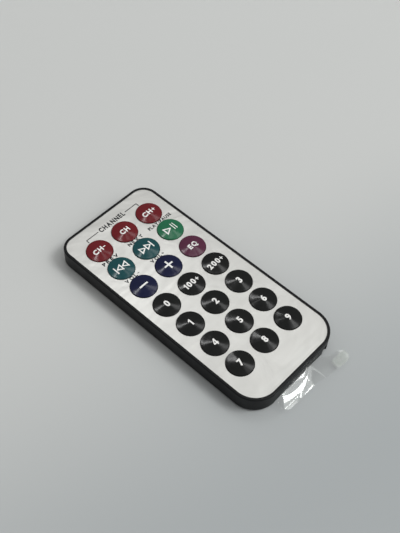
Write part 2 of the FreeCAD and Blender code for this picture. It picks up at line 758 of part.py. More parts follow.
def battery_tray():
    body = new_body("battery_tray")
    frame = new_sketch(body, offset=TRAY_BOTTOM)
    rectangle(frame, "-Sizes.tray_half_width", TRAY_NEAR, "Sizes.tray_half_width", TRAY_FAR)
    pad(body, frame, minus(CELL_TOP, TRAY_BOTTOM))

    # the thick front block, which shows in the back, and the ear that carries the latch
    block = new_sketch(body, offset="Sizes.tray_recess")
    rectangle(block, "-Sizes.tray_half_width", TRAY_NEAR, "Sizes.tray_half_width", TRAY_FRONT_END)
    pad(body, block, minus(TRAY_BOTTOM, "Sizes.tray_recess"))
    fillet_level(body, "Sizes.tray_recess", "Sizes.tray_edge_radius", TRAY_NEAR)
    ear = new_sketch(body, offset=TRAY_BOTTOM)
    rectangle(ear, "Sizes.tray_half_width", LATCH_PIVOT_Y, LATCH_OUTER_X,
              LATCH_PIVOT_Y + " + Sizes.latch_ear_length")
    pad(body, ear, minus(CELL_TOP, TRAY_BOTTOM))
    seat = new_sketch(body, offset=TRAY_BOTTOM)
    circle(seat, LATCH_MIDDLE_X, LATCH_PIVOT_Y, "Sizes.latch_boss_radius + Sizes.latch_boss_gap")
    pocket(body, seat, minus(CELL_TOP, TRAY_BOTTOM))

    cell_pocket = new_sketch(body, offset=CELL_BOTTOM)
    circle(cell_pocket, "0", CELL_Y, "Sizes.cell_radius + Sizes.cell_pocket_gap")
    pocket(body, cell_pocket, "Sizes.cell_thickness")
    window = new_sketch(body, offset=TRAY_BOTTOM)
    circle(window, "0", CELL_Y, "Sizes.tray_window_radius")
    pocket(body, window, "Sizes.tray_floor")

    notch = new_sketch(body, offset=CELL_BOTTOM)
    notch_half = "(Sizes.plus_contact_width / 2 + Sizes.plus_contact_notch_gap)"
    rectangle(notch, "-" + notch_half, CELL_Y, notch_half, TRAY_FAR + " + Sizes.wall")
    pocket(body, notch, "Sizes.cell_thickness")

    grooves = new_sketch(body, offset="Sizes.tray_recess")
    for i in range(GRIP_GROOVES):
        middle = "%s + Sizes.tray_front_length / 2 + %d * Sizes.grip_groove_pitch" % (
            TRAY_NEAR, i - GRIP_GROOVES // 2)
        rectangle(grooves, "-Sizes.grip_groove_length / 2", middle + " - Sizes.grip_groove_width / 2",
                  "Sizes.grip_groove_length / 2", middle + " + Sizes.grip_groove_width / 2")
    pocket(body, grooves, "Sizes.grip_groove_depth")
    keep("battery_tray", body)


def tray_latch():
    """The springy finger beside the tray, with a thumb end, a tooth and a round root."""
    body = new_body("tray_latch")
    bar_near = TRAY_NEAR + " + Sizes.latch_end_setback"
    side = new_sketch(body, "YZ_Plane", LATCH_INNER_X)
    profile(side, [
        (bar_near, CELL_TOP),
        (bar_near, "Sizes.tray_recess + Sizes.tray_edge_radius"),
        (bar_near + " + Sizes.tray_edge_radius", "Sizes.tray_recess"),
        (TRAY_FRONT_END, "Sizes.tray_recess"),
        (TRAY_FRONT_END, TRAY_BOTTOM),
        (LATCH_PIVOT_Y, TRAY_BOTTOM),
        (LATCH_PIVOT_Y, CELL_TOP),
    ])
    pad(body, side, "Sizes.latch_thickness")

    root = new_sketch(body, offset=TRAY_BOTTOM)
    circle(root, LATCH_MIDDLE_X, LATCH_PIVOT_Y, "Sizes.latch_boss_radius")
    pad(body, root, minus(CELL_TOP, TRAY_BOTTOM))

    tooth = new_sketch(body, offset=LATCH_TOOTH_BOTTOM)
    profile(tooth, [
        (LATCH_OUTER_X, LATCH_TOOTH_NEAR),
        (LATCH_OUTER_X + " + Sizes.latch_tooth", LATCH_TOOTH_NEAR),
        (LATCH_OUTER_X + " + Sizes.latch_tooth", LATCH_TOOTH_NEAR + " + Sizes.latch_tooth_length / 2"),
        (LATCH_OUTER_X, LATCH_TOOTH_FAR),
    ])
    pad(body, tooth, "Sizes.latch_tooth_height")
    keep("tray_latch", body)


def pull_tab():
    """A clear film that lies on the cell, leaves the near end and bends down in two arcs.

    Its bent section is swept across the full width, and the outline in plan cuts the neck
    and rounds the outer corners."""
    thickness = value("Sizes.film_thickness")
    radius = value("Sizes.film_bend_radius")
    turn = math.radians(value("Sizes.film_bend_angle"))
    exit_y = value(NEAR_END + " - Sizes.film_exit")
    inner_y = exit_y + value("Sizes.film_inside_length")
    z = value(FILM_BOTTOM)
    left = value("Sizes.film_centre_x - Sizes.film_half_width")
    right = value("Sizes.film_centre_x + Sizes.film_half_width")
    run, drop = math.sin(turn), 1 - math.cos(turn)
    middle_run, middle_drop = math.sin(turn / 2), 1 - math.cos(turn / 2)

    def bend(offset):
        """The film's lower or upper side, as edges and the places of its two ends."""
        r1, r2 = radius + offset, radius - offset
        first = [(exit_y, z + offset),
                 (exit_y - r1 * middle_run, z + offset - r1 * middle_drop),
                 (exit_y - r1 * run, z + offset - r1 * drop)]
        end_y = exit_y - 2 * radius * run
        end_z = z - 2 * radius * drop + offset
        second = [first[2], (end_y + r2 * middle_run, end_z + r2 * middle_drop), (end_y, end_z)]
        points = [[FreeCAD.Vector(left, *place) for place in arc] for arc in (first, second)]
        start = FreeCAD.Vector(left, inner_y, z + offset)
        end = FreeCAD.Vector(left, end_y - value("Sizes.film_flat"), end_z)
        edges = [Part.LineSegment(start, points[0][0]), Part.Arc(*points[0]), Part.Arc(*points[1]),
                 Part.LineSegment(points[1][2], end)]
        return [edge.toShape() for edge in edges], start, end

    lower, lower_start, lower_end = bend(0.0)
    upper, upper_start, upper_end = bend(thickness)
    ends = [Part.makeLine(lower_end, upper_end), Part.makeLine(lower_start, upper_start)]
    section = Part.Face(Part.Wire(Part.__sortEdges__(lower + upper + ends)))
    sheet_solid = section.extrude(FreeCAD.Vector(right - left, 0, 0))

    handle_near = lower_end.y
    neck_left = value("Sizes.film_centre_x - Sizes.film_neck_half_width")
    neck_width = 2 * value("Sizes.film_neck_half_width")
    # both outlines reach half the film's height below the back face and above the film
    cut_bottom = -value(FILM_TOP) / 2
    cut_height = 2 * value(FILM_TOP)
    neck = Part.makeBox(neck_width, inner_y - handle_near, cut_height,
                        FreeCAD.Vector(neck_left, handle_near, cut_bottom))
    handle = Part.makeBox(right - left, exit_y - handle_near, cut_height,
                          FreeCAD.Vector(left, handle_near, cut_bottom))
    upright = [edge for edge in handle.Edges
               if abs(edge.BoundBox.ZLength - cut_height) < 1e-6]
    handle = handle.makeFillet(value("Sizes.film_corner_radius"), upright)
    film = doc.addObject("Part::Feature", "film")
    film.Shape = sheet_solid.common(handle.fuse(neck)).removeSplitter()
    film.Placement = FreeCAD.Placement()
    keep("battery_pull_tab", film)


def write_parts():
    doc.recompute()
    for obj in doc.Objects:
        if "Invalid" in obj.State or "Error" in obj.State:
            raise RuntimeError("%s failed: %s" % (obj.Name, obj.State))
    for name, obj in nodes.items():
        if obj.Shape.isNull() or not obj.Shape.isValid() or not obj.Shape.Solids:
            raise RuntimeError("%s has no valid solid" % name)
    for name, obj in nodes.items():
        obj.Shape.exportStep(os.path.join("parts", name + ".step"))
        limits = obj.Shape.BoundBox
        print("%-18s solids %2d volume %9.3f  x %7.2f %7.2f  y %7.2f %7.2f  z %6.2f %6.2f" % (
            name, len(obj.Shape.Solids), obj.Shape.Volume, limits.XMin, limits.XMax,
            limits.YMin, limits.YMax, limits.ZMin, limits.ZMax))
    print("%d parts" % len(nodes))


fill_sheet()
rear_shell()
front_shell()
key_overlay()
for key_name, key_x, key_y in key_places():
    key(key_name, key_x, key_y)
    dome("dome_" + key_name[len("key_"):], key_x, key_y)
dome_retainer()
circuit_board()
ir_led()
ir_led_leads()
controller_chip()
resonator()
passives()
transistor()
minus_contact()
plus_contact()
coin_cell()
battery_tray()
tray_latch()
pull_tab()
write_parts()
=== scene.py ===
import json
import math

import bmesh
import bpy
from mathutils import Matrix, Vector


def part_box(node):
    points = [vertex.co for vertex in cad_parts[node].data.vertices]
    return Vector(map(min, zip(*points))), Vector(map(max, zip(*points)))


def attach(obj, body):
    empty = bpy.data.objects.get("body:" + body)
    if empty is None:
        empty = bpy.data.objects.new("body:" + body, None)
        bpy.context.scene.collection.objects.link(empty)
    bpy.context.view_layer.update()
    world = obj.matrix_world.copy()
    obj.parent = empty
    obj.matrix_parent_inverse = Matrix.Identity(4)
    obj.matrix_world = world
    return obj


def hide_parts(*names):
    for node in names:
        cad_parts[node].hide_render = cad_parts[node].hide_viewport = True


# Looks of a slim card remote control: materials, printed legends, the clear pull tab, and light.
# Metres, in the part's own frame. The origin is the centre of the back face, and +Z runs to the
# keys.

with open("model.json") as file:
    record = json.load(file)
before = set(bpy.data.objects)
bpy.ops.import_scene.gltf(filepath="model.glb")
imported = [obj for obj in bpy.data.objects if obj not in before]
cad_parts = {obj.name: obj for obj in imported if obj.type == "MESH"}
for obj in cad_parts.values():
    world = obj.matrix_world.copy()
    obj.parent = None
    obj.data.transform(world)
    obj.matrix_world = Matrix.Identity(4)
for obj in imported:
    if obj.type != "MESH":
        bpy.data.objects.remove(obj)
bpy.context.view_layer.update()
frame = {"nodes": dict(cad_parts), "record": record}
MM = 0.001

KEY_NAMES = [
    "key_ch_minus", "key_ch", "key_ch_plus",
    "key_prev", "key_next", "key_play_pause",
    "key_vol_down", "key_vol_up", "key_eq",
    "key_0", "key_100_plus", "key_200_plus",
    "key_1", "key_2", "key_3",
    "key_4", "key_5", "key_6",
    "key_7", "key_8", "key_9",
]
SLOT_OF_NODE = {part["node"]: part["material_slot"] for part in frame["record"]["subparts"]}


def srgb(red, green, blue):
    """A colour given as it looks on screen, 0 to 255, in the shader's linear values."""
    def linear(value):
        value = value / 255
        return value / 12.92 if value <= 0.04045 else ((value + 0.055) / 1.055) ** 2.4
    return (linear(red), linear(green), linear(blue), 1.0)


def add_object(name, data):
    made = bpy.data.objects.new(name, data)
    bpy.context.scene.collection.objects.link(made)
    return made


# materials


class Material:
    """A node material around one Principled shader. Lengths in it are in metres."""

    def __init__(self, name, colour, roughness, **sockets):
        self.material = bpy.data.materials.new(name)
        self.material.use_nodes = True
        self.tree = self.material.node_tree
        self.shader = self.tree.nodes["Principled BSDF"]
        self.shader.inputs["Base Color"].default_value = colour
        self.shader.inputs["Roughness"].default_value = roughness
        for socket, amount in sockets.items():
            self.shader.inputs[socket.replace("_", " ")].default_value = amount
        self.normal = None

    def node(self, kind, **settings):
        node = self.tree.nodes.new(kind)
        for key, setting in settings.items():
            setattr(node, key, setting)
        return node

    def link(self, output, socket):
        self.tree.links.new(output, socket)

    def drive(self, socket, value):
        self.link(value, self.shader.inputs[socket])

    def place(self, stretch=(1, 1, 1)):
        coordinates = self.node("ShaderNodeTexCoord")
        mapping = self.node("ShaderNodeMapping")
        mapping.inputs["Scale"].default_value = stretch
        self.link(coordinates.outputs["Object"], mapping.inputs["Vector"])
        return mapping.outputs["Vector"]

    def noise(self, scale, detail=3.0, stretch=(1, 1, 1), distortion=0.0):
        noise = self.node("ShaderNodeTexNoise")
        noise.inputs["Scale"].default_value = scale
        noise.inputs["Detail"].default_value = detail
        noise.inputs["Distortion"].default_value = distortion
        self.link(self.place(stretch), noise.inputs["Vector"])
        return noise.outputs["Fac"]

    def along(self, axis):
        """The place of a point along one axis, in metres."""
        split = self.node("ShaderNodeSeparateXYZ")
        self.link(self.place(), split.inputs["Vector"])
        return split.outputs[axis]

    def spread(self, value, low, high, start=0.3, end=0.7):
        """Carry a value that runs from start to end over to low to high."""
        span = self.node("ShaderNodeMapRange", interpolation_type="SMOOTHSTEP")
        span.inputs["From Min"].default_value = start
        span.inputs["From Max"].default_value = end
        span.inputs["To Min"].default_value = low
        span.inputs["To Max"].default_value = high
        self.link(value, span.inputs["Value"])
        return span.outputs["Result"]

    def times(self, first, second):
        product = self.node("ShaderNodeMath", operation="MULTIPLY")
        self.link(first, product.inputs[0])
        self.link(second, product.inputs[1])
        return product.outputs["Value"]

    def shade(self, value, first, second, start=0.3, end=0.7):
        """Colour that runs from the first to the second as a value runs from start to end."""
        ramp = self.node("ShaderNodeValToRGB")
        for stop, position, colour in zip(ramp.color_ramp.elements, (start, end), (first, second)):
            stop.position = position
            stop.color = colour
        self.link(value, ramp.inputs["Fac"])
        self.drive("Base Color", ramp.outputs["Color"])

    def bump(self, value, strength, depth):
        bump = self.node("ShaderNodeBump")
        bump.inputs["Strength"].default_value = strength
        bump.inputs["Distance"].default_value = depth
        self.link(value, bump.inputs["Height"])
        if self.normal is not None:
            self.link(self.normal, bump.inputs["Normal"])
        self.normal = bump.outputs["Normal"]
        self.drive("Normal", self.normal)


def moulded_plastic(name, colour, paler, roughness):
    """Moulded plastic with the fine grain of its mould and slightly uneven gloss."""
    made = Material(name, colour, roughness, Specular_IOR_Level=0.2)
    clouds = made.noise(scale=180, detail=4.0)
    made.shade(clouds, colour, paler)
    made.drive("Roughness", made.spread(clouds, low=roughness - 0.04, high=roughness + 0.06))
    made.bump(made.noise(scale=3000, detail=2.0), strength=0.15, depth=0.02 * MM)
    return made.material


def silver_overlay():
    """Silver print under clear film: fine brushing across it, and faint clouds of gloss."""
    made = Material("silver_overlay", srgb(196, 196, 192), 0.3, Metallic=0.6)
    clouds = made.noise(scale=70, detail=5.0, distortion=1.5)
    made.shade(clouds, srgb(192, 192, 188), srgb(201, 201, 197))
    brushing = made.noise(scale=800, stretch=(0.15, 1.0, 1.0), distortion=0.4)
    made.drive("Roughness", made.spread(brushing, low=0.28, high=0.33))
    made.bump(brushing, strength=0.1, depth=0.008 * MM)
    made.bump(clouds, strength=0.4, depth=0.35 * MM)
    return made.material


# a key's crown is part of a sphere, and its clear coat has the normals of a shallow cone
CROWN_RISE = 0.45 * MM
CROWN_EDGE = 4.28 * MM
CROWN_CURVE = (CROWN_EDGE ** 2 + CROWN_RISE ** 2) / (2 * CROWN_RISE)
CONE_SLOPE = math.tan(math.radians(6))


def key_face(name, colour, paler):
    """A coloured key under a clear coat that is a shallow cone, so that it mirrors each lamp as
    one line out from the middle."""
    made = Material(name, colour, 0.5, Specular_IOR_Level=0.05, Coat_Weight=0.5,
                    Coat_Roughness=0.1)
    low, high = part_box("key_5")
    width = high[0] - low[0]
    centred = made.node("ShaderNodeVectorMath", operation="SUBTRACT")
    centred.inputs[1].default_value = (0.5, 0.5, 0.0)
    made.link(made.node("ShaderNodeTexCoord").outputs["Generated"], centred.inputs[0])
    flat = made.node("ShaderNodeVectorMath", operation="MULTIPLY")
    flat.inputs[1].default_value = (width, width, 0.0)
    made.link(centred.outputs["Vector"], flat.inputs[0])
    radius = made.node("ShaderNodeVectorMath", operation="LENGTH")
    made.link(flat.outputs["Vector"], radius.inputs[0])
    # a height of r * (r / (2 * curve) - slope) over the crown makes a cone
    fall = made.node("ShaderNodeMath", operation="MULTIPLY_ADD")
    fall.inputs[1].default_value = 1 / (2 * CROWN_CURVE)
    fall.inputs[2].default_value = -CONE_SLOPE
    made.link(radius.outputs["Value"], fall.inputs[0])
    cone = made.node("ShaderNodeBump")
    cone.inputs["Strength"].default_value = 1.0
    cone.inputs["Distance"].default_value = 1.0
    made.link(made.times(radius.outputs["Value"], fall.outputs["Value"]), cone.inputs["Height"])
    made.drive("Coat Normal", cone.outputs["Normal"])
    grain = made.noise(scale=900)
    made.shade(grain, colour, paler)
    made.drive("Coat Roughness", made.spread(grain, low=0.08, high=0.13))
    return made.material


def brushed_metal(name, colour, roughness):
    """Bare metal with fine lines along Y."""
    made = Material(name, colour, roughness, Metallic=1.0)
    brushing = made.noise(scale=2400, detail=2.0, stretch=(1.0, 0.08, 1.0))
    made.drive("Roughness", made.spread(brushing, low=roughness - 0.06, high=roughness + 0.1))
    made.bump(brushing, strength=0.15, depth=0.01 * MM)
    return made.material


# the share of light that the clear film and its pale patch stop, and where the patch lies; the
# patch is a painted sheen, paler and rougher, for the faint sheen on the film's outer right end
FILM_REFLECTS = 0.075
FILM_COLOUR = srgb(240, 243, 240)
FILM_ROUGHNESS = 0.13
SHEEN_PATCH_STOPS = 0.24
SHEEN_PATCH_COLOUR = srgb(196, 203, 194)
SHEEN_PATCH_ROUGHNESS = 0.6
SHEEN_PATCH_METALLIC = 0.1
SHEEN_PATCH_START_X = 9.0 * MM
SHEEN_PATCH_END_X = 12.0 * MM
SHEEN_PATCH_START_Y = -46.0 * MM
SHEEN_PATCH_END_Y = -47.4 * MM


def clear_film():
    """Clear film that reflects a little all over, with a pale patch of painted sheen at its outer
    right end.
    """
    made = Material("clear_film", FILM_COLOUR, FILM_ROUGHNESS, Metallic=1.0, Alpha=FILM_REFLECTS)
    # painted sheen: a paler, rougher and less clear patch at the outer right end, broken up by
    # noise
    patch = made.times(made.spread(made.along("X"), 0.0, 1.0, SHEEN_PATCH_START_X, SHEEN_PATCH_END_X),
                       made.spread(made.along("Y"), 1.0, 0.0, SHEEN_PATCH_END_Y, SHEEN_PATCH_START_Y))
    sheen_mask = made.times(patch, made.spread(made.noise(scale=420), low=0.55, high=1.0))
    for socket, clear, in_sheen in (("Alpha", FILM_REFLECTS, SHEEN_PATCH_STOPS),
                                ("Metallic", 1.0, SHEEN_PATCH_METALLIC),
                                ("Roughness", FILM_ROUGHNESS, SHEEN_PATCH_ROUGHNESS)):
        made.drive(socket, made.spread(sheen_mask, clear, in_sheen, start=0.0, end=1.0))
    made.shade(sheen_mask, FILM_COLOUR, SHEEN_PATCH_COLOUR, start=0.0, end=1.0)
    made.bump(made.noise(scale=260, detail=2.0), strength=0.3, depth=0.05 * MM)
    return made.material


def inner_film():
    """The milky film that holds the snap domes."""
    made = Material("inner_film", srgb(214, 220, 218), 0.3, Alpha=0.35)
    made.drive("Roughness", made.spread(made.noise(scale=300), low=0.25, high=0.4))
    made.bump(made.noise(scale=160, detail=2.0), strength=0.2, depth=0.05 * MM)
    return made.material


def emitter_lens():
    made = Material("emitter_lens", srgb(120, 128, 150), 0.08, Alpha=0.7, IOR=1.54)
    made.drive("Roughness", made.spread(made.noise(scale=500, detail=2.0), low=0.05, high=0.12))
    made.bump(made.noise(scale=700, detail=2.0), strength=0.08, depth=0.02 * MM)
    return made.material


def board_lacquer():
    made = Material("board_lacquer", srgb(30, 92, 52), 0.35, Coat_Weight=0.3)
    made.shade(made.noise(scale=300), srgb(26, 84, 46), srgb(38, 104, 60))
    made.bump(made.noise(scale=1200, detail=2.0), strength=0.1, depth=0.02 * MM)
    return made.material


def ink(name, colour, paler):
    """Printed ink with slightly uneven colour and gloss."""
    made = Material(name, colour, 0.42, Specular_IOR_Level=0.25)
    wear = made.noise(scale=600)
    made.shade(wear, colour, paler)
    made.drive("Roughness", made.spread(wear, low=0.36, high=0.5))
    return made.material


SLOT_MATERIALS = {
    "case_black": moulded_plastic("black_plastic", srgb(6, 8, 10), srgb(11, 13, 15), 0.42),
    "overlay_silver": silver_overlay(),
    "key_red": key_face("red_key", srgb(97, 16, 23), srgb(103, 20, 27)),
    "key_teal": key_face("teal_key", srgb(14, 65, 69), srgb(19, 69, 73)),
    "key_green": key_face("green_key", srgb(27, 98, 66), srgb(33, 103, 71)),
    "key_navy": key_face("navy_key", srgb(8, 15, 49), srgb(11, 18, 54)),
    "key_purple": key_face("purple_key", srgb(78, 33, 55), srgb(83, 37, 60)),
    "key_black": key_face("black_key", srgb(8, 10, 9), srgb(12, 14, 13)),
    "dome_steel": brushed_metal("dome_steel", srgb(190, 190, 188), 0.25),
    "film": inner_film(),
    "board_green": board_lacquer(),
    "emitter_lens": emitter_lens(),
    "tinned_metal": brushed_metal("tinned_metal", srgb(200, 200, 196), 0.3),
    "chip_black": moulded_plastic("chip_black", srgb(28, 28, 29), srgb(36, 36, 37), 0.6),
    "resonator_amber": moulded_plastic("resonator_amber", srgb(206, 130, 38), srgb(216, 142, 52),
                                       0.4),
    "passive_tan": moulded_plastic("passive_tan", srgb(172, 146, 104), srgb(184, 160, 118), 0.55),
    "cell_steel": brushed_metal("cell_steel", srgb(188, 188, 184), 0.4),
}
WHITE_INK = ink("white_ink", srgb(232, 232, 229), srgb(242, 242, 239))
DARK_INK = ink("dark_ink", srgb(22, 24, 27), srgb(34, 36, 39))


def dress_frame():
    """Give every CAD node the material of its slot."""
    for name, node in frame["nodes"].items():
        node.data.materials.clear()
        node.data.materials.append(SLOT_MATERIALS[SLOT_OF_NODE[name]])


# printed legends: flat shapes first, then laid on what they are printed on


# the built-in letters: how bold they are, the steps along each curve, and their capital height
GLYPH_WEIGHT = 0.045
GLYPH_STEPS = 4
CAPITAL = 0.70

# where no width is given: the gap as a share of the height, and how wide the letters are drawn
GLYPH_GAP = 0.16
GLYPH_STRETCH = 0.95

# drawn here for a capital height of one, because the built-in letters lack these forms
DRAWN_GLYPHS = {
    "1": [[(0.18, 0.0), (0.39, 0.0), (0.39, 1.0), (0.23, 1.0), (0.14, 0.88), (0.0, 0.8),
           (0.0, 0.63), (0.18, 0.72)]],
    "4": [[(0.41, 0.0), (0.61, 0.0), (0.61, 0.2), (0.73, 0.2), (0.73, 0.37), (0.61, 0.37),
           (0.61, 1.0), (0.43, 1.0), (0.0, 0.38), (0.0, 0.2), (0.41, 0.2)],
          [(0.41, 0.37), (0.41, 0.72), (0.17, 0.37)]],
    "+": [[(0.0, 0.43), (0.24, 0.43), (0.24, 0.19), (0.38, 0.19), (0.38, 0.43), (0.62, 0.43),
           (0.62, 0.57), (0.38, 0.57), (0.38, 0.81), (0.24, 0.81), (0.24, 0.57), (0.0, 0.57)]],
    "-": [[(0.0, 0.42), (0.5, 0.42), (0.5, 0.58), (0.0, 0.58)]],
}


def mesh_of(curve):
    holder = add_object("holder", curve)
    bpy.context.view_layer.update()
    shown = holder.evaluated_get(bpy.context.evaluated_depsgraph_get())
    mesh = bpy.data.meshes.new_from_object(shown)
    bpy.data.objects.remove(holder)
    return mesh


def filled(loops):
    """Closed loops of points as a flat filled mesh. A loop inside another cuts a hole in it."""
    curve = bpy.data.curves.new("loops", "CURVE")
    curve.dimensions = "2D"
    curve.fill_mode = "BOTH"
    for points in loops:
        spline = curve.splines.new("POLY")
        spline.points.add(len(points) - 1)
        for point, (x, y) in zip(spline.points, points):
            point.co = (x, y, 0, 1)
        spline.use_cyclic_u = True
    return mesh_of(curve)


def letter(character):
    """One character as a flat mesh, one unit high, with its left side at zero."""
    if character in DRAWN_GLYPHS:
        return filled(DRAWN_GLYPHS[character])
    curve = bpy.data.curves.new("letter", "FONT")
    curve.body = character
    curve.offset = GLYPH_WEIGHT
    curve.resolution_u = GLYPH_STEPS
    mesh = mesh_of(curve)
    left = min(vertex.co.x for vertex in mesh.vertices)
    height = CAPITAL + 2 * GLYPH_WEIGHT
    for vertex in mesh.vertices:
        vertex.co.x = (vertex.co.x - left) / height
        vertex.co.y = (vertex.co.y + GLYPH_WEIGHT) / height
    return mesh


def words(text, height, width=None, gap=GLYPH_GAP):
    """Words as one flat shape centred on the origin, with capitals of the given height and gaps
    of a share of it. The letters are drawn out or in to fill the width, where it is given."""
    letters = [letter(character) for character in text]
    widths = [max(vertex.co.x for vertex in mesh.vertices) for mesh in letters]
    gaps = gap * (len(text) - 1)
    stretch = GLYPH_STRETCH if width is None else (width / height - gaps) / sum(widths)
    shape = bmesh.new()
    left = -(sum(widths) * stretch + gaps) / 2
    for mesh, own_width in zip(letters, widths):
        for vertex in mesh.vertices:
            vertex.co = Vector((vertex.co.x * stretch + left, vertex.co.y - 0.5, 0)) * height
        shape.from_mesh(mesh)
        left += own_width * stretch + gap
    return shape


def drawing(loops):
    shape = bmesh.new()
    shape.from_mesh(filled(loops))
    return shape


def bar(x0, y0, x1, y1):
    return [(x0, y0), (x1, y0), (x1, y1), (x0, y1)]


def open_arrow(x_flat, x_tip, half_height, stroke):
    """An arrowhead's outline from its flat side to its tip, and the loop of its open middle."""
    direction = 1 if x_tip > x_flat else -1
    length = abs(x_tip - x_flat)
    inner_flat = x_flat + direction * stroke
    inner_tip = x_tip - direction * stroke * math.hypot(length, half_height) / half_height
    inner_half = half_height * abs(inner_tip - inner_flat) / length
    return [[(x_flat, half_height), (x_flat, -half_height), (x_tip, 0)],
            [(inner_flat, inner_half), (inner_flat, -inner_half), (inner_tip, 0)]]


ICON_STROKE = 0.4 * MM
SKIP_ARROW_LENGTH = 2.3 * MM
SKIP_HALF_HEIGHT = 1.45 * MM
SKIP_START = 2.55 * MM
PLAY_FLAT_X = -2.4 * MM
PLAY_TIP_X = 0.3 * MM
PLAY_HALF_HEIGHT = 1.55 * MM
PAUSE_BARS_X = (0.9 * MM, 1.8 * MM)
PAUSE_STROKE = 0.32 * MM
PAUSE_HALF_HEIGHT = 1.4 * MM
SIGN_REACH = 1.7 * MM
SIGN_HALF_STROKE = 0.3 * MM


def skip_icon(direction):
    """Two open arrowheads that run into a bar, pointing along 1 or -1."""
    loops = []
    for step in (0, 1):
        start = direction * (step * SKIP_ARROW_LENGTH - SKIP_START)
        loops += open_arrow(start, start + direction * SKIP_ARROW_LENGTH, SKIP_HALF_HEIGHT,
                            ICON_STROKE)
    edge = direction * (2 * SKIP_ARROW_LENGTH - SKIP_START)
    loops.append(bar(edge, -SKIP_HALF_HEIGHT, edge + direction * ICON_STROKE, SKIP_HALF_HEIGHT))
    return drawing(loops)


def play_pause_icon():
    loops = open_arrow(PLAY_FLAT_X, PLAY_TIP_X, PLAY_HALF_HEIGHT, ICON_STROKE)
    for start in PAUSE_BARS_X:
        loops.append(bar(start, -PAUSE_HALF_HEIGHT, start + PAUSE_STROKE, PAUSE_HALF_HEIGHT))
    return drawing(loops)


def minus_sign():
    return drawing([bar(-SIGN_REACH, -SIGN_HALF_STROKE, SIGN_REACH, SIGN_HALF_STROKE)])


def plus_sign():
    far, near = SIGN_REACH, SIGN_HALF_STROKE
    return drawing([[(-far, -near), (-near, -near), (-near, -far), (near, -far), (near, -near),
                     (far, -near), (far, near), (near, near), (near, far), (-near, far),
                     (-near, near), (-far, near)]])


# how far the ink stands out, its thickness, the grid that cuts it, and how near points are merged
PRINT_LIFT = 0.012 * MM
PRINT_DEPTH = 0.016 * MM
PRINT_STEP = 0.45 * MM
PRINT_MERGE = 0.0005 * MM


def cut_along_grid(shape, step, reach):
    """Cut a flat shape along a square grid, so that it can follow a curved surface."""
    lines = int(reach / step)
    for direction in (Vector((1, 0, 0)), Vector((0, 1, 0))):
        for i in range(-lines, lines + 1):
            bmesh.ops.bisect_plane(shape, geom=shape.verts[:] + shape.edges[:] + shape.faces[:],
                                   plane_co=direction * i * step, plane_no=direction)


def print_on(name, shape, centre, height_at, body, material):
    """Lay a flat shape on a surface as thin ink that rides on a body."""
    bmesh.ops.remove_doubles(shape, verts=shape.verts, dist=PRINT_MERGE)
    under = set(shape.verts)
    bmesh.ops.extrude_face_region(shape, geom=shape.faces[:], use_keep_orig=True)
    for vertex in shape.verts:
        x, y = vertex.co.x, vertex.co.y
        lift = PRINT_LIFT - PRINT_DEPTH if vertex in under else PRINT_LIFT
        vertex.co = Vector((centre.x + x, centre.y + y, height_at(x, y) + lift))
    bmesh.ops.recalc_face_normals(shape, faces=shape.faces)
    mesh = bpy.data.meshes.new(name)
    shape.to_mesh(mesh)
    shape.free()
    mesh.materials.append(material)
    piece = add_object(name, mesh)
    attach(piece, body)


def key_top(name):
    """The highest point of a key, at its centre."""
    low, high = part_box(name)
    return Vector(((low[0] + high[0]) / 2, (low[1] + high[1]) / 2, high[2]))


DIGIT_HEIGHT = 2.45 * MM
NUMBER_HEIGHT = 2.15 * MM
WORD_HEIGHT = 2.0 * MM

KEY_LEGENDS = {
    "key_ch_minus": lambda: words("CH-", WORD_HEIGHT, 5.0 * MM),
    "key_ch": lambda: words("CH", WORD_HEIGHT, 3.6 * MM),
    "key_ch_plus": lambda: words("CH+", WORD_HEIGHT, 5.3 * MM),
    "key_prev": lambda: skip_icon(-1),
    "key_next": lambda: skip_icon(1),
    "key_play_pause": play_pause_icon,
    "key_vol_down": minus_sign,
    "key_vol_up": plus_sign,
    "key_eq": lambda: words("EQ", WORD_HEIGHT, 3.5 * MM),
    "key_100_plus": lambda: words("100+", NUMBER_HEIGHT, 6.1 * MM),
    "key_200_plus": lambda: words("200+", NUMBER_HEIGHT, 6.5 * MM),
}


def key_legends():
    for name in KEY_NAMES:
        top = key_top(name)

        def crown(x, y):
            return top.z - CROWN_CURVE + math.sqrt(CROWN_CURVE ** 2 - x * x - y * y)

        short = name[len("key_"):]
        shape = KEY_LEGENDS[name]() if name in KEY_LEGENDS else words(short, DIGIT_HEIGHT)
        cut_along_grid(shape, PRINT_STEP, CROWN_EDGE)
        print_on("legend_" + short, shape, top, crown, name, WHITE_INK)


# each label's words, width and gap, with the keys that it stands between
KEY_LABELS = [
    ("PREV", 6.5 * MM, 0.3, "key_ch_minus", "key_prev"),
    ("NEXT", 6.3 * MM, 0.3, "key_ch", "key_next"),
    ("PLAY/PAUSE", 10.2 * MM, 0.12, "key_ch_plus", "key_play_pause"),
    ("VOL-", 6.0 * MM, 0.35, "key_prev", "key_vol_down"),
    ("VOL+", 5.8 * MM, 0.3, "key_next", "key_vol_up"),
]
LABEL_HEIGHT = 1.35 * MM
LABEL_STEP = 0.1 * MM
LABEL_CUT_REACH = 1.4 * CROWN_EDGE
LABEL_TO_KEY = 4.45 * MM
HEADING_HEIGHT = 2.0 * MM
HEADING_GAP = 0.17
HEADING_WIDTH = 11.0 * MM
HEADING_ABOVE_KEYS = 6.15 * MM
BRACKET_OUTER = 11.3 * MM
BRACKET_INNER = 6.1 * MM
BRACKET_DROP = 1.3 * MM
BRACKET_HALF_STROKE = 0.15 * MM


def keep_clear(shape, centre, keys):
    """Cut away what a label would print over a key."""
    def over_a_key(face):
        place = centre + face.calc_center_median()
        return any((place - key).xy.length < LABEL_TO_KEY for key in keys)

    cut_along_grid(shape, LABEL_STEP, LABEL_CUT_REACH)
    over = [face for face in shape.faces if over_a_key(face)]
    bmesh.ops.delete(shape, geom=over, context="FACES")


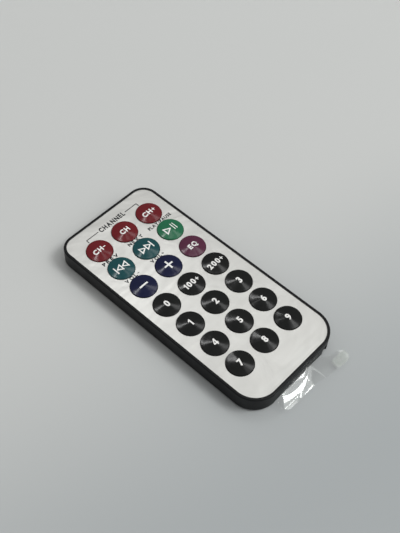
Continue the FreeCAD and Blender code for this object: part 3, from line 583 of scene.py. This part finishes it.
def overlay_labels():
    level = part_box("key_overlay")[1][2]

    def flat(x, y):
        return level

    for text, width, gap, above, below in KEY_LABELS:
        shape = words(text, LABEL_HEIGHT, width, gap)
        centre = (key_top(above) + key_top(below)) / 2
        keep_clear(shape, centre, (key_top(above), key_top(below)))
        print_on("label_" + below[len("key_"):], shape, centre, flat, "case", DARK_INK)
    centre = key_top("key_ch") + Vector((0, HEADING_ABOVE_KEYS, 0))
    print_on("label_channel", words("CHANNEL", HEADING_HEIGHT, HEADING_WIDTH, HEADING_GAP), centre,
             flat, "case", DARK_INK)
    loops = []
    for side in (-1, 1):
        inner, outer = side * BRACKET_INNER, side * BRACKET_OUTER
        half = BRACKET_HALF_STROKE
        loops.append([(inner, half), (inner, -half), (outer - side * half, -half),
                      (outer - side * half, -BRACKET_DROP), (outer + side * half, -BRACKET_DROP),
                      (outer + side * half, half)])
    print_on("channel_bracket", drawing(loops), centre, flat, "case", DARK_INK)


# pull tab


FILM_STEPS_ACROSS = 180
FILM_STEPS_OUT = 60
FILM_THICKNESS = 0.07 * MM
FILM_CORNER = 2.2 * MM
FILM_FLOOR = 0.25 * MM
FILM_WALL_GAP = 0.4 * MM
NECK_STEPS_ACROSS = 60
NECK_STEPS_IN = 8
NECK_HALF = 7.0 * MM
NECK_LENGTH = 20.0 * MM

# how far the handle stands out of the case, which grows from its left to its right
REACH_LEFT = 4.7 * MM
REACH_RIGHT = 6.6 * MM
REACH_START = -1.0 * MM
REACH_FADE = 10.0 * MM

# the film goes down steeply at its left, where its waves mirror the window, and gently at its
# right and on a shelf along the outer edge of its left end
SLOPE_LEFT = 0.54
SLOPE_GENTLE = 0.1
LEFT_END = 0.5 * MM
GENTLE_START = 4.5 * MM
SHELF_OUT = 3.6 * MM
SHELF_END = -5.0 * MM
SHELF_FADE = 1.5 * MM

# a dent by the case, waves that run around it, and a soft fold across them
DENT_MIDDLE = -3.6 * MM
DENT_HALF = 6.4 * MM
DENT_OUT = 2.1 * MM
DENT_DEPTH = 0.7 * MM
DENT_FADE = 0.3 * MM
WAVE_LENGTH = 2.3 * MM
WAVE_HEIGHT = 0.042 * MM
FOLD_X = 0.6 * MM
FOLD_OUT = 1.9 * MM
FOLD_TURN = math.radians(25)
FOLD_HALF = 0.45 * MM
FOLD_HEIGHT = 0.07 * MM

# the left end is folded down along a slanting crease, and the right end is narrower and falls away
FLAP_FOLD = -8.8 * MM
FLAP_SLANT = math.radians(52)
FLAP_SLOPE = 0.5
NARROW_START = 7.0 * MM
NARROW_FADE = 9.0 * MM
NARROW_DEPTH = 2.2 * MM
FALL_START = 3.5 * MM
FALL_FADE = 12.5 * MM
FALL_DEPTH = 2.2 * MM


def smooth(value):
    """A soft step from 0 to 1 as the value goes from 0 to 1."""
    value = min(max(value, 0.0), 1.0)
    return value * value * (3 - 2 * value)


class PullTab:
    """Clear film that comes out of the near end and drops in soft waves beside the case. A place
    on it has its x, and how far out of the case it is."""

    def __init__(self):
        low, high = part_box("battery_pull_tab")
        self.middle = (low[0] + high[0]) / 2
        self.half = (high[0] - low[0]) / 2
        self.exit_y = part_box("rear_shell")[0][1] - FILM_WALL_GAP
        self.exit_z = high[2] - FILM_THICKNESS

    def reach(self, x):
        share = smooth((x - REACH_START) / REACH_FADE)
        return REACH_LEFT + (REACH_RIGHT - REACH_LEFT) * share

    def fall(self, x, out):
        """How far a plain sheet has come down."""
        share = smooth((x - LEFT_END) / (GENTLE_START - LEFT_END))
        slope = SLOPE_LEFT + (SLOPE_GENTLE - SLOPE_LEFT) * share
        shelf = smooth((SHELF_END - x) / SHELF_FADE) * max(out - SHELF_OUT, 0.0)
        return slope * out - (slope - SLOPE_GENTLE) * shelf

    def waves(self, x, out):
        """How far a place stands above the plain sheet."""
        around = math.hypot((x - DENT_MIDDLE) / DENT_HALF, out / DENT_OUT)
        dent = DENT_DEPTH * max(1 - around, 0.0) * smooth(out / DENT_FADE)
        beyond = max(around - 1, 0.0) * DENT_OUT
        wave = WAVE_HEIGHT * (1 - math.cos(2 * math.pi * beyond / WAVE_LENGTH))
        across = math.sin(FOLD_TURN) * (x - FOLD_X) + math.cos(FOLD_TURN) * (out - FOLD_OUT)
        wave += FOLD_HEIGHT * math.exp(-(across / FOLD_HALF) ** 2)
        return wave * smooth((GENTLE_START - x) / (GENTLE_START - LEFT_END)) - dent

    def point(self, x, out):
        past_fold = math.sin(FLAP_SLANT) * (FLAP_FOLD - x) - math.cos(FLAP_SLANT) * out
        height = self.exit_z - self.fall(x, out) + self.waves(x, out)
        height -= FLAP_SLOPE * max(past_fold, 0.0)
        height -= FALL_DEPTH * smooth((x - FALL_START) / FALL_FADE)
        return Vector((x, self.exit_y - out, max(height, FILM_FLOOR)))

    def handle(self, u, v):
        """The handle, with u across it and v outwards, each from 0 to 1. Its corners are rounded
        by drawing its sides in."""
        x = self.middle + (2 * u - 1) * self.half
        start = NARROW_DEPTH * smooth((x - NARROW_START) / NARROW_FADE)
        reach = self.reach(x)
        out = start + v * (reach - start)
        from_end = min(out - start, reach - out)
        inset = 0.0
        if from_end < FILM_CORNER:
            inset = FILM_CORNER - math.sqrt(FILM_CORNER ** 2 - (FILM_CORNER - from_end) ** 2)
        return self.point(self.middle + (2 * u - 1) * (self.half - inset), out)

    def neck(self, u, v):
        """The flat neck inside the case, with u across it and v inwards."""
        x = self.middle + (2 * u - 1) * NECK_HALF
        return Vector((x, self.exit_y + v * NECK_LENGTH, self.exit_z))


def add_grid(shape, columns, rows, place):
    """Add a grid of faces whose corners are at place(u, v)."""
    points = [[shape.verts.new(place(i / columns, j / rows)) for i in range(columns + 1)]
              for j in range(rows + 1)]
    for j in range(rows):
        for i in range(columns):
            shape.faces.new((points[j][i], points[j][i + 1], points[j + 1][i + 1],
                             points[j + 1][i]))


def pull_tab():
    tab = PullTab()
    shape = bmesh.new()
    add_grid(shape, FILM_STEPS_ACROSS, FILM_STEPS_OUT, tab.handle)
    add_grid(shape, NECK_STEPS_ACROSS, NECK_STEPS_IN, tab.neck)
    bmesh.ops.recalc_face_normals(shape, faces=shape.faces)
    mesh = bpy.data.meshes.new("pull_tab_film")
    shape.to_mesh(mesh)
    shape.free()
    for polygon in mesh.polygons:
        polygon.use_smooth = True
    mesh.materials.append(clear_film())
    film = add_object("pull_tab_film", mesh)
    thicken = film.modifiers.new("thickness", "SOLIDIFY")
    thicken.thickness = FILM_THICKNESS
    thicken.offset = 0
    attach(film, "pull_tab")
    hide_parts("battery_pull_tab")


# floor, light and camera


# the table is painted with shade: its colour runs from a darker near colour to its far one along a
# direction that is mostly +Y, where the light falls off, and it lies a hair below the case's back,
# which would otherwise be in the same plane
FLOOR_SIZE = 3.0
FLOOR_GAP = 0.02 * MM
FLOOR_ALONG = (0.25, 0.97, 0.0)
FLOOR_NEAR = -80 * MM
FLOOR_FAR = 30 * MM
FLOOR_COLOUR = srgb(199, 201, 199)
FLOOR_NEAR_SHADED_COLOUR = srgb(166, 171, 172)
FLOOR_FAR_LIT_COLOUR = srgb(198, 200, 198)


def floor():
    """A pale table with painted shade: it darkens a little towards the near right, where the light
    falls off.
    """
    bpy.ops.mesh.primitive_plane_add(size=FLOOR_SIZE)
    plane = bpy.context.object
    plane.name = "floor"
    plane.location.z = -FLOOR_GAP
    made = Material("pale_floor", FLOOR_COLOUR, 0.8)
    along = made.node("ShaderNodeVectorMath", operation="DOT_PRODUCT")
    along.inputs[1].default_value = FLOOR_ALONG
    made.link(made.place(), along.inputs[0])
    # painted shade: the floor's colour darkens towards the near side
    made.shade(made.spread(along.outputs["Value"], 0.0, 1.0, FLOOR_NEAR, FLOOR_FAR),
               FLOOR_NEAR_SHADED_COLOUR, FLOOR_FAR_LIT_COLOUR, start=0.0, end=1.0)
    plane.data.materials.append(made.material)


ROOM_STRENGTH = 0.38

# two lamps that face the object from one place, with their sides and power, where the azimuth is
# measured from +X towards +Y
LAMP_AZIMUTH = math.radians(-50)
LAMP_ELEVATION = math.radians(52)
LAMP_DISTANCE = 3.0
FACING_LAMPS = [
    ("window", (1.0, 1.0), 34.0),
    ("bright_wall", (3.2, 3.2), 36.0),
]

# strips overhead that face down, with their place, how far their length is turned from +X towards
# +Y in degrees, their sides and power
STRIPS = [
    ("bright_strip", (0.225, 0.336, 0.65), 11, (0.32, 0.03), 0.36),
    ("dull_strip", (0.358, 0.155, 0.65), 84, (0.27, 0.067), 0.2),
    ("corner_strip", (0.265, 0.222, 0.65), -50, (0.1, 0.03), 0.03),
]


def add_lamp(name, sides, power):
    light = bpy.data.lights.new(name, "AREA")
    light.shape = "RECTANGLE"
    light.size, light.size_y = sides
    light.energy = power
    return add_object(name, light)


def lights():
    """A plain room, a window with the bright wall around it, and three strips that draw the
    lines on the keys."""
    world = bpy.data.worlds.new("room")
    world.use_nodes = True
    background = world.node_tree.nodes["Background"]
    background.inputs["Color"].default_value = (1.0, 1.0, 1.0, 1.0)
    background.inputs["Strength"].default_value = ROOM_STRENGTH
    bpy.context.scene.world = world
    level = math.cos(LAMP_ELEVATION)
    towards = Vector((level * math.cos(LAMP_AZIMUTH), level * math.sin(LAMP_AZIMUTH),
                      math.sin(LAMP_ELEVATION)))
    for name, sides, power in FACING_LAMPS:
        lamp = add_lamp(name, sides, power)
        lamp.location = towards * LAMP_DISTANCE
        lamp.rotation_euler = lamp.location.to_track_quat("Z", "Y").to_euler()
    for name, place, turn, sides, power in STRIPS:
        lamp = add_lamp(name, sides, power)
        lamp.location = place
        lamp.rotation_euler = (0, 0, math.radians(turn))


# the camera, as it was fitted to the photograph
CAMERA_PLACE = Vector((-121.86, -104.36, 228.87)) * MM
CAMERA_LOOK = Vector((0.4611, 0.3890, -0.7975))
CAMERA_ROLL = math.radians(3.31)
CAMERA_SENSOR_HEIGHT = 24.0
CAMERA_LENS = 39.12
CAMERA_CLIP_START = 0.01


def camera():
    lens = bpy.data.cameras.new("camera")
    lens.sensor_fit = "VERTICAL"
    lens.sensor_height = CAMERA_SENSOR_HEIGHT
    lens.lens = CAMERA_LENS
    lens.clip_start = CAMERA_CLIP_START
    eye = add_object("camera", lens)
    look = CAMERA_LOOK.normalized()
    level_right = look.cross(Vector((0, 0, 1))).normalized()
    level_up = level_right.cross(look)
    right = math.cos(CAMERA_ROLL) * level_right + math.sin(CAMERA_ROLL) * level_up
    turn = Matrix((right, right.cross(look), -look)).transposed().to_4x4()
    eye.matrix_world = Matrix.Translation(CAMERA_PLACE) @ turn
    bpy.context.scene.camera = eye


camera()
dress_frame()
key_legends()
overlay_labels()
pull_tab()
floor()
lights()
bpy.context.scene.view_settings.view_transform = "Standard"
